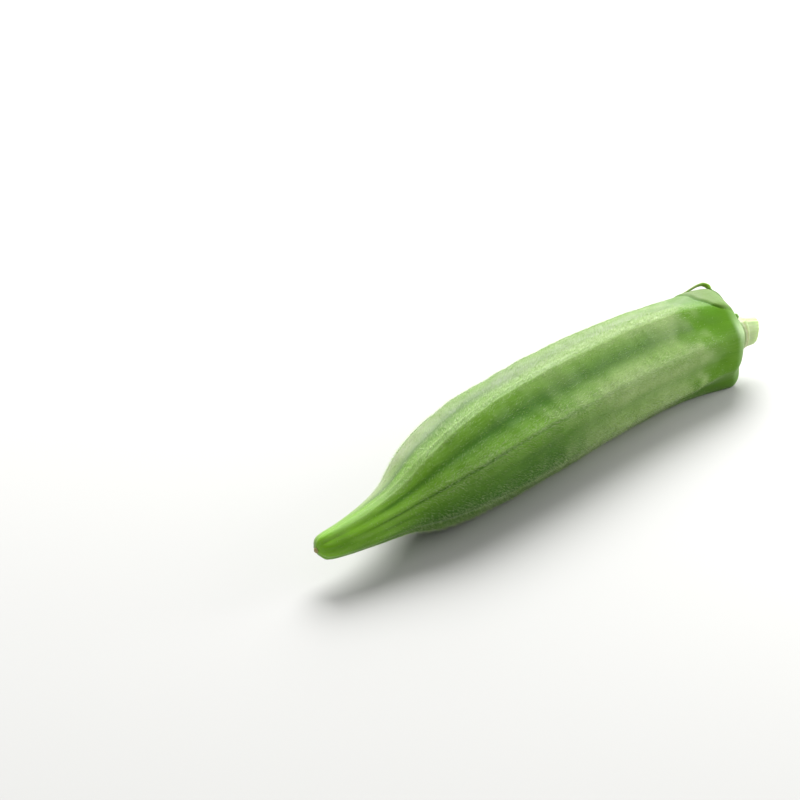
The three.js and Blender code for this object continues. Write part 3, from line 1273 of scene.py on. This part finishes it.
@dataclass(frozen=True)
class Pod:
    """The fruit: its skin, the scar on its beak, and the finish of both."""

    form: PodForm = POD
    rings: int = 400
    columns_per_rib: int = 32
    crest_gathering: float = 0.09
    end_rings: int = 5
    end_dish_mm: float = 0.3
    patterns: SkinPatterns = SkinPatterns()
    skin_finish: OkraSkinFinish = OkraSkinFinish()

    # The scar: its ragged edge is a sum of sine waves, each (height, waves round, start).
    scar_radius_mm: float = 0.5
    scar_height_mm: float = 0.3
    scar_dome: float = 1.5
    scar_sink: float = 0.5
    scar_top: float = 0.8
    scar_rag: tuple[tuple[float, float, float], ...] = ((0.12, 5, 1), (0.08, 9, 0))
    scar_top_rag: float = 0.3
    scar_rings: int = 8
    scar_sides: int = 28
    scar_finish: ScarFinish = ScarFinish()

    def columns(self) -> Array:
        """Angles of the skin's columns, gathered towards the crests, where the shape is finer.

        Returns:
            Angles in degrees, all round the pod.
        """
        ribs = self.form.rib_circle
        t = np.arange(self.columns_per_rib) / self.columns_per_rib
        phase = t - self.crest_gathering * np.sin(2 * np.pi * t)
        return (ribs[:-1, None] + np.diff(ribs)[:, None] * phase).ravel()

    def build_skin(self) -> bpy.types.Object:
        """Builds the skin from rings along the outline, and closes the stalk end inwards.

        Returns:
            The skin, dressed.
        """
        form = self.form
        places = np.linspace(0, form.outline_places()[-1], self.rings + 1)[1:]
        s, radius = form.along_outline(places)
        shrink = np.linspace(1, 0, self.end_rings + 2)[1:-1]
        s = np.append(s, form.length - self.end_dish_mm * (1 - shrink))
        radius = np.append(radius, form.outline[-1][1] * shrink)
        s, degrees = np.meshgrid(s, self.columns(), indexing="ij")
        radius = np.broadcast_to(radius[:, None], s.shape)
        dish = form.centre(np.array([form.length - self.end_dish_mm]))[0]
        piece = closed_piece("pod_skin", form.skin(s, radius, degrees), form.beak_end(), dish)
        self.store_patterns(piece, s, radius, degrees)
        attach(piece, "root")
        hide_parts("pod")
        self.skin_finish.dress(piece)
        return piece

    def store_patterns(
        self, piece: bpy.types.Object, s: Array, radius: Array, degrees: Array
    ) -> None:
        """Stores what the skin's material reads: the patterns, and the pod laid straight.

        Args:
            piece: The skin.
            s: Distance along the axis of every ring point.
            radius: Radius of the outline there.
            degrees: Angle round the axis.
        """
        at_ends = {"beak": (1, 0), "shoulder": (0, 1), "lip": (0, 1), "collar": (0, 1)}
        for name, values in self.patterns.at(self.form, s, radius, degrees).items():
            store(piece, name, values, *at_ends.get(name, (0, 0)))
        angle = np.radians(degrees)
        straight = np.stack([s, radius * np.cos(angle), radius * np.sin(angle)], axis=-1) * MM
        first, last = np.array([[s[0, 0], 0, 0], [s[-1, 0], 0, 0]]) * MM
        store(piece, "straight", straight, first, last)

    def build_scar(self) -> bpy.types.Object:
        """Builds the scar: a low ragged knob, its radius a quarter circle on its height.

        Returns:
            The scar, dressed.
        """
        tip = self.form.beak_end()
        along, side, up = (v[0] for v in self.form.cross_section(np.array([self.form.start])))
        turn = np.linspace(0, 2 * np.pi, self.scar_sides, endpoint=False)
        rise = np.linspace(0.5 * np.pi, 0, self.scar_rings + 1)[1:, None]
        rag = 1 + sum(high * np.sin(waves * turn + start) for high, waves, start in self.scar_rag)
        sink = self.scar_sink * self.scar_height_mm
        dome = self.scar_dome * self.scar_height_mm * np.sin(rise)
        radius = self.scar_radius_mm * np.cos(rise) * rag
        height = dome * mix(1, rag, self.scar_top_rag) - sink
        rings = tip + radius[..., None] * around(turn, side, up) - height[..., None] * along
        top = tip - self.scar_top * self.scar_height_mm * along
        piece = closed_piece("style_scar", rings, top, tip + sink * along)
        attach(piece, "root")
        self.scar_finish.dress(piece)
        return piece


class DownKind(Enum):
    """The three kinds of hair on the skin."""

    RIB = "rib"
    FACE = "face"
    FUZZ = "fuzz"


@dataclass(frozen=True)
class DownCoat:
    """One coat of hairs: each is a slim closed spike with three sides.

    Hairs are as long as real ones, and thicker: real ones are too fine to show.

    A hair stands out of the skin, is combed by a fixed share of its length along the pod
    and round it, and leans by a random share in a random direction. Hairs are drawn by
    area, and more of them where density, by the place along the pod, and nearness to a
    crest say so.
    """

    kind: DownKind
    finish: DownFinish
    count: int
    length_mm: tuple[float, float]
    thickness_mm: float
    lean: float
    combed: tuple[float, float]
    face_share: float
    crest_width_mm: float
    density: Stations
    growth: Stations
    seed: int
    form: PodForm = POD
    root_mm: float = 0.06
    table_gap_mm: float = 0.05
    overhang_mm: float = 0.33
    shortest_share: float = 0.1
    bare_ends_mm: tuple[float, float] = (0.5, 1.5)
    cells: tuple[int, int] = (520, 420)

    def roots(self, draw: np.random.Generator) -> tuple[Array, Array]:
        """Draws where the hairs stand, by area and by how dense they are there.

        Args:
            draw: The source of the random draws.

        Returns:
            Distances travelled along the outline and angles.
        """
        form = self.form
        first, last = self.bare_ends_mm
        places = np.linspace(first, form.outline_places()[-1] - last, self.cells[0] + 1)
        degrees = np.linspace(0, 360, self.cells[1] + 1)
        place_grid, angle_grid = np.meshgrid(places, degrees, indexing="ij")
        s, radius = form.along_outline(place_grid)
        grid = form.skin(s, radius, angle_grid, fine=False)
        one, other = grid[1:, 1:] - grid[:-1, :-1], grid[1:, :-1] - grid[:-1, 1:]
        area = np.linalg.norm(np.cross(one, other), axis=-1)
        away = form.crest_distance(radius, angle_grid + form.down_turn)
        crest = bell(away, self.crest_width_mm)
        weight = smooth(self.density, s) * mix(self.face_share, 1, crest)
        chance = (area * weight[:-1, :-1]).ravel()
        chosen = draw.choice(len(chance), self.count, p=chance / chance.sum())
        row, column = np.divmod(chosen, self.cells[1])
        inside = draw.random((2, self.count))
        place = places[row] + inside[0] * (places[1] - places[0])
        return place, degrees[column] + inside[1] * (degrees[1] - degrees[0])

    def build(self) -> bpy.types.Object:
        """Builds the coat as one piece, and leaves out hairs that the table would press flat.

        Returns:
            The coat, dressed.
        """
        draw = np.random.default_rng(self.seed)
        place, degrees = self.roots(draw)
        point, normal, along = self.form.surface_frame(place, degrees)
        across = np.cross(normal, along)
        s, _ = self.form.along_outline(place)
        turn = draw.random(self.count) * 2 * np.pi
        swept = np.cos(turn)[:, None] * along + np.sin(turn)[:, None] * across
        lean = self.lean * draw.random(self.count)
        combed = self.combed[0] * along - self.combed[1] * across
        way = unit(normal + combed + lean[:, None] * swept)
        length = mix(*self.length_mm, draw.random(self.count)) * smooth(self.growth, s)
        length = length * self.room(point, way * length[:, None])
        tip = point + way * length[:, None]
        kept = (tip[:, 2] > self.table_gap_mm) & (point[:, 2] > 2 * self.table_gap_mm)
        point, way, tip = point[kept], way[kept], tip[kept]
        first = unit(np.cross(way, along[kept]))
        second = np.cross(way, first)
        third = 2 * np.pi / 3 * np.arange(3)
        ring = np.cos(third)[:, None] * first[:, None] + np.sin(third)[:, None] * second[:, None]
        base = point[:, None] - self.root_mm * way[:, None] + 0.5 * self.thickness_mm * ring
        points = np.concatenate([base, tip[:, None]], axis=1).reshape(-1, 3)
        sides = np.array([[0, 1, 3], [1, 2, 3], [2, 0, 3], [0, 2, 1]])
        corners = (4 * np.arange(len(point))[:, None, None] + sides).ravel()
        name = f"down_{self.kind.value}"
        piece = make_piece(name, to_row(points), corners, np.full(4 * len(point), 3))
        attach(piece, "root")
        self.finish.dress(piece)
        return piece

    def room(self, point: Array, reach: Array) -> Array:
        """Share of each hair's reach that keeps its tip close to the solid's own box.

        Args:
            point: Roots of the hairs.
            reach: From root to tip.

        Returns:
            One share for each hair, at most 1.
        """
        low = np.asarray(cad_low) / MM - ROW_SHIFT - self.overhang_mm
        high = np.asarray(cad_high) / MM - ROW_SHIFT + self.overhang_mm
        wall = np.where(reach > 0, high, low)
        free = np.abs(wall - point) / np.maximum(np.abs(reach), 1e-9)
        return np.clip(free.min(axis=1), self.shortest_share, 1)


@dataclass(frozen=True)
class StalkStub:
    """The cut stub of the stalk, with the pale ring where the calyx dropped off.

    The outline is (millimetres past the pod's end, radius). Its first points are sunk in
    the pod, its last ones turn in over the slanting cut.
    """

    form: PodForm = POD
    outline: Stations = (
        (-1.2, 2.2), (-0.4, 2.85), (0.1, 3.02), (0.6, 3.12), (1.2, 3.16), (1.55, 3.06),
        (1.75, 2.88), (2.5, 2.78), (3.6, 2.68), (4.5, 2.56), (4.9, 2.5), (5.03, 2.4),
        (5.07, 2.25), (4.96, 1.9), (4.93, 1.4), (5.0, 0.9), (4.9, 0.5),
    )
    last_bark: int = 10
    cut_fade: int = 2
    cut_slant: float = 0.3
    cut_angle: float = -60
    cut_dish_mm: float = 0.05
    pith_radii: tuple[float, float] = (1.5, 1.0)
    steps_between: int = 6
    sides: int = 120
    oval: float = 0.03
    oval_turn: float = 0.6
    flutes: Ripple = Ripple(seed=3, longest_mm=60, shortest_mm=14, most_turns=22, waves=14)
    flute_mm: float = 0.035

    # The swollen ring wanders a little along the stub. Its pale line lies, in millimetres
    # past the pod's end, at a mean place, with a change on the stub's top and on its side.
    wander: Ripple = Ripple(seed=4, longest_mm=60, shortest_mm=30, most_turns=5, waves=8)
    wander_mm: float = 0.09
    swelling: tuple[float, float] = (1.2, 0.9)
    ring_place: tuple[float, float, float] = (0.42, -0.33, 0.32)
    ring_width: float = 0.26
    ring_edge_offset: float = 0.32
    ring_edge_width: float = 0.12
    ring_edge_strength: float = 0.5
    finish: StalkFinish = StalkFinish()

    def build(self) -> bpy.types.Object:
        """Builds the stub from rings of the outline; offsets shorten towards the cut's low side.

        Returns:
            The stub, dressed.
        """
        form = self.form
        end = np.array([form.length])
        along, side, up = (v[0] for v in form.cross_section(end))
        knots = np.asarray(self.outline, float)
        number = np.arange(len(knots))
        index = np.linspace(0, len(knots) - 1, (len(knots) - 1) * self.steps_between + 1)
        offset = smooth(tuple(zip(number, knots[:, 0])), index)[:, None]
        radius = smooth(tuple(zip(number, knots[:, 1])), index)[:, None]
        turn = np.linspace(0, 2 * np.pi, self.sides, endpoint=False)[None, :]
        fluted = self.flute_mm * self.flutes.at(offset, turn) * np.clip(radius, 0, 1)
        radius = radius * (1 + self.oval * np.cos(2 * turn + self.oval_turn)) + fluted
        middle, reach = self.swelling
        drift = self.wander_mm * self.wander.at(0, turn)
        offset = offset + drift * bell(offset - middle, reach)
        low_side = 0.5 - 0.5 * np.cos(turn - math.radians(self.cut_angle))
        length = offset - self.cut_slant * np.clip(offset, 0, None) * low_side
        rings = form.centre(end)[0] + around(turn, side, up) * radius[..., None]
        rings = rings + along * length[..., None]
        first, last = rings[0].mean(axis=0), rings[-1].mean(axis=0) - self.cut_dish_mm * along
        piece = closed_piece("stalk_stub_flesh", rings, first, last)

        straight = np.stack([length, radius * np.cos(turn), radius * np.sin(turn)], axis=-1) * MM
        mean, on_top, on_side = self.ring_place
        from_ring = offset - (mean + on_top * np.cos(turn) + on_side * np.sin(turn))
        on_cut = ease(self.last_bark, self.last_bark + self.cut_fade, index)[:, None] + 0 * turn
        edge = bell(from_ring - self.ring_edge_offset, self.ring_edge_width)
        for name, values in (
            ("straight", straight),
            ("ring", bell(from_ring, self.ring_width)),
            ("ring_edge", self.ring_edge_strength * edge),
            ("cut", on_cut),
            ("pith", on_cut * ease(*self.pith_radii, radius)),
        ):
            store(piece, name, values, values[0, 0], values[-1, 0])
        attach(piece, "root")
        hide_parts("stalk_stub")
        self.finish.dress(piece)
        return piece


@dataclass(frozen=True)
class Bracteole:
    """The leaf strip that is rooted at the ring, lies on the shoulder, arches and comes down.

    Its course is (distance along the axis, angle, height over the skin). Width and
    thickness run along its length, as a share of it.
    """

    form: PodForm = POD
    course: tuple[tuple[float, float, float], ...] = (
        (116.9, -20, -0.15), (115.4, -25, -0.02), (114.2, -32, 0.0), (113.3, -38, 0.0),
        (112.75, -41, 0.25), (112.3, -42.5, 0.7), (111.6, -44, 1.0), (110.7, -45, 0.88),
        (109.6, -46, 0.5), (108.7, -47, 0.2), (107.7, -48, 0.0), (106.8, -48.5, -0.15),
    )
    width: Stations = ((0, 1.5), (0.4, 1.35), (0.6, 1.1), (0.8, 0.7), (0.95, 0.45), (1, 0.2))
    thickness: Stations = (
        (0, 0.35), (0.3, 0.4), (0.4, 0.95), (0.5, 0.9), (0.62, 0.6), (0.85, 0.42), (1, 0.16),
    )
    cup: float = 0.22
    waver: float = 0.06
    waver_rate: float = 21
    step: float = 0.002
    steps: int = 110
    sides: int = 28
    finish: BracteoleFinish = BracteoleFinish()

    def spline(self, knots: Array, t: Array) -> Array:
        """Catmull-Rom curve through the knots, as t goes from 0 to 1.

        Args:
            knots: Points or directions, in order.
            t: Where to read the curve.

        Returns:
            One point or direction for each t.
        """
        padded = np.concatenate([2 * knots[:1] - knots[1:2], knots, 2 * knots[-1:] - knots[-2:-1]])
        place = t * (len(knots) - 1)
        i = np.minimum(place.astype(int), len(knots) - 2)
        u = (place - i)[:, None]
        a, b, c, d = (padded[i + k] for k in range(4))
        return 0.5 * (
            2 * b + (c - a) * u + (2 * a - 5 * b + 4 * c - d) * u**2
            + (3 * b - a - 3 * c + d) * u**3
        )

    def build(self) -> bpy.types.Object:
        """Builds the strip: an oval section, cupped across its width, carried along its course.

        Returns:
            The strip, dressed.
        """
        s, degrees, lift = np.asarray(self.course, float).T
        point, normal, _ = self.form.surface_frame(self.form.place_of(s), degrees)
        knots = point + normal * lift[:, None]
        t = np.linspace(0, 1, self.steps)
        centre = self.spline(knots, t)
        ahead, behind = (self.spline(knots, np.clip(t + k * self.step, 0, 1)) for k in (1, -1))
        tangent = unit(ahead - behind)
        across = unit(np.cross(self.spline(normal, t), tangent))
        over = np.cross(tangent, across)
        turn = 2 * np.pi * (np.arange(self.sides) + 0.5) / self.sides
        half = 0.5 * smooth(self.width, t)[:, None]
        waver = 1 + self.waver * np.sin(self.waver_rate * t)[:, None]
        wide = half * np.cos(turn) * waver
        thick = 0.5 * smooth(self.thickness, t)[:, None] * np.sin(turn)
        thick = thick + self.cup * half * (np.cos(turn) ** 2 - 0.5)
        rings = centre[:, None] + across[:, None] * wide[..., None]
        rings = rings + over[:, None] * thick[..., None]
        piece = closed_piece("bracteole_strip", rings, centre[0], centre[-1])
        steps = np.linalg.norm(np.diff(centre, axis=0), axis=1)
        travelled = np.concatenate([[0], np.cumsum(steps)])[:, None] + 0 * wide
        straight = np.stack([travelled, wide, thick], axis=-1) * MM
        store(piece, "straight", straight, straight[0, 0], straight[-1, -1])
        store(piece, "along", np.repeat(t, self.sides), 0, 1)
        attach(piece, "root")
        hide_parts("bracteole")
        self.finish.dress(piece)
        return piece


@dataclass(frozen=True)
class BracteoleStump:
    """The stump of a second bracteole, a green bead beside the stalk."""

    form: PodForm = POD
    place: tuple[float, float] = (115.4, 21)
    half_size_mm: tuple[float, float, float] = (0.8, 0.55, 0.45)
    rings: int = 14
    sides: int = 24
    tone: float = 0.45
    finish: BracteoleFinish = BracteoleFinish(blade="#5c8a16", vein="#6f9c2c")

    def build(self) -> bpy.types.Object:
        """Builds the bead: an ellipsoid whose long axis lies along the skin, half sunk in it.

        Returns:
            The bead, dressed.
        """
        s, degrees = np.array([self.place]).T
        surface = self.form.surface_frame(self.form.place_of(s), degrees)
        point, normal, along = (v[0] for v in surface)
        half_along, half_across, half_out = self.half_size_mm
        across = half_across * np.cross(normal, along)
        x = np.cos(np.pi * np.arange(self.rings, 0, -1) / (self.rings + 1))[:, None, None]
        turn = 2 * np.pi * np.arange(self.sides)[None, :] / self.sides
        girth = np.sqrt(1 - x**2)
        rings = point + half_along * x * along + girth * around(turn, across, half_out * normal)
        ends = point - half_along * along, point + half_along * along
        piece = closed_piece("bracteole_stump", rings, *ends)
        store(piece, "straight", rings * MM, ends[0] * MM, ends[1] * MM)
        store(piece, "along", np.full(rings.shape[:2], self.tone), self.tone, self.tone)
        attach(piece, "root")
        self.finish.dress(piece)
        return piece


@dataclass(frozen=True)
class SoftLamp:
    """A round soft light that faces the pod from one side."""

    name: str
    power_w: float
    size_m: float
    distance_m: float
    azimuth: float
    elevation: float


@dataclass(frozen=True)
class Studio:
    """A pale sweep, a camera, and soft light.

    The light comes from above and behind, a little from beyond the stalk, and palely from
    all round.
    """

    floor_size_m: float = 8.0
    floor_drop_mm: float = 0.02
    sky: str = "#ffffff"
    sky_strength: float = 0.45
    lamps: tuple[SoftLamp, ...] = (
        SoftLamp("key", power_w=15.0, size_m=0.8, distance_m=0.9, azimuth=138, elevation=52),
        SoftLamp("rim", power_w=4.0, size_m=0.6, distance_m=0.9, azimuth=125, elevation=28),
        SoftLamp("fill", power_w=0.145, size_m=0.1, distance_m=0.18, azimuth=58, elevation=24),
    )
    lens_mm: float = 90
    sensor_mm: float = 36
    nearest_m: float = 0.01
    view_azimuth: float = -47
    view_elevation: float = 25.5
    view_distance_mm: float = 400
    view_target_mm: tuple[float, float, float] = (62.95, 40.79, -0.75)
    finish: FloorFinish = FloorFinish()

    def back(self, azimuth: float, elevation: float) -> Vector:
        """Direction from the object to what looks at it: azimuth 0 looks along +Y."""
        a, e = math.radians(azimuth), math.radians(elevation)
        return Vector((math.sin(a) * math.cos(e), -math.cos(a) * math.cos(e), math.sin(e)))

    def build_floor(self) -> bpy.types.Object:
        """Builds the floor just under the pod.

        Returns:
            The floor, dressed and staged.
        """
        half, low = self.floor_size_m / 2, -self.floor_drop_mm * MM
        corners = ((-half, -half), (half, -half), (half, half), (-half, half))
        points = np.array([(x, y, low) for x, y in corners])
        floor = make_piece("floor", points, np.arange(4), np.array([4]))
        self.finish.dress(floor)
        return floor

    def build_lights(self) -> None:
        """Lights the stage: pale light from all round, and discs that face the pod."""
        world = bpy.data.worlds.new("studio_sky")
        world.use_nodes = True
        sky = world.node_tree.nodes["Background"]
        sky.inputs["Color"].default_value = linear(self.sky)
        sky.inputs["Strength"].default_value = self.sky_strength
        bpy.context.scene.world = world
        for soft in self.lamps:
            lamp = bpy.data.lights.new(soft.name, "AREA")
            lamp.shape = "DISK"
            lamp.size = soft.size_m
            lamp.energy = soft.power_w
            light = bpy.data.objects.new(soft.name, lamp)
            way = self.back(soft.azimuth, soft.elevation)
            light.location = way * soft.distance_m
            light.rotation_euler = (-way).to_track_quat("-Z", "Y").to_euler()
            bpy.context.scene.collection.objects.link(light)

    def build_camera(self) -> None:
        """Sets the camera up at its distance from the point it looks at."""
        lens = bpy.data.cameras.new("camera")
        lens.lens = self.lens_mm
        lens.sensor_width = self.sensor_mm
        lens.clip_start = self.nearest_m
        camera = bpy.data.objects.new("camera", lens)
        target = Vector(to_row(np.asarray(self.view_target_mm)))
        way = self.back(self.view_azimuth, self.view_elevation)
        camera.location = target + way * self.view_distance_mm * MM
        camera.rotation_euler = (-way).to_track_quat("-Z", "Y").to_euler()
        bpy.context.scene.collection.objects.link(camera)
        bpy.context.scene.camera = camera
        bpy.context.scene.view_settings.view_transform = "Standard"


RIB_DOWN = DownCoat(
    kind=DownKind.RIB,
    finish=DownFinish("rib_down", "#c8dba8"),
    count=32000,
    length_mm=(0.3, 0.8),
    thickness_mm=0.045,
    lean=0.4,
    combed=(0.15, 0),
    face_share=0.06,
    crest_width_mm=1.5,
    density=(
        (0, 0.02), (12, 0.25), (22, 1), (80, 1), (97, 0.7), (104, 0.2), (112, 0.05), (116, 0),
    ),
    growth=((0, 0.3), (12, 0.45), (24, 1), (85, 1), (104, 0.5), (116, 0.3)),
    seed=21,
)
FACE_DOWN = DownCoat(
    kind=DownKind.FACE,
    finish=DownFinish("face_down", "#84ad4a"),
    count=30000,
    length_mm=(0.2, 0.5),
    thickness_mm=0.04,
    lean=0.5,
    combed=(0.6, 0.5),
    face_share=0.6,
    crest_width_mm=2.4,
    density=((0, 0), (18, 0.06), (34, 0.3), (54, 0.4), (70, 1), (97, 1), (104, 0.1), (108, 0)),
    growth=((0, 0.4), (15, 0.6), (40, 1), (90, 1), (104, 0.6), (116, 0.3)),
    seed=22,
)
FUZZ_DOWN = DownCoat(
    kind=DownKind.FUZZ,
    finish=DownFinish("fuzz_down", "#80aa44"),
    count=40000,
    length_mm=(0.12, 0.3),
    thickness_mm=0.035,
    lean=1.2,
    combed=(0.5, 0.3),
    face_share=0.6,
    crest_width_mm=1.8,
    density=((0, 0), (18, 0.1), (34, 0.4), (54, 0.5), (70, 1), (97, 1), (104, 0.15), (108, 0)),
    growth=((0, 0.7), (30, 1), (116, 0.8)),
    seed=23,
)


def main() -> None:
    """Builds the stage, then the pod, its down, its stub and its bracteole, and reports each."""
    logging.basicConfig(level=logging.INFO, format="%(message)s")
    studio = Studio()
    studio.build_camera()
    studio.build_lights()
    studio.build_floor()
    pod = Pod()
    report(pod.build_skin())
    report(pod.build_scar())
    for coat in (RIB_DOWN, FACE_DOWN, FUZZ_DOWN):
        report(coat.build())
    report(StalkStub().build())
    report(Bracteole().build())
    report(BracteoleStump().build())
    LOG.info("cad box %s %s", list(cad_low), list(cad_high))


if __name__ == "__main__":
    main()
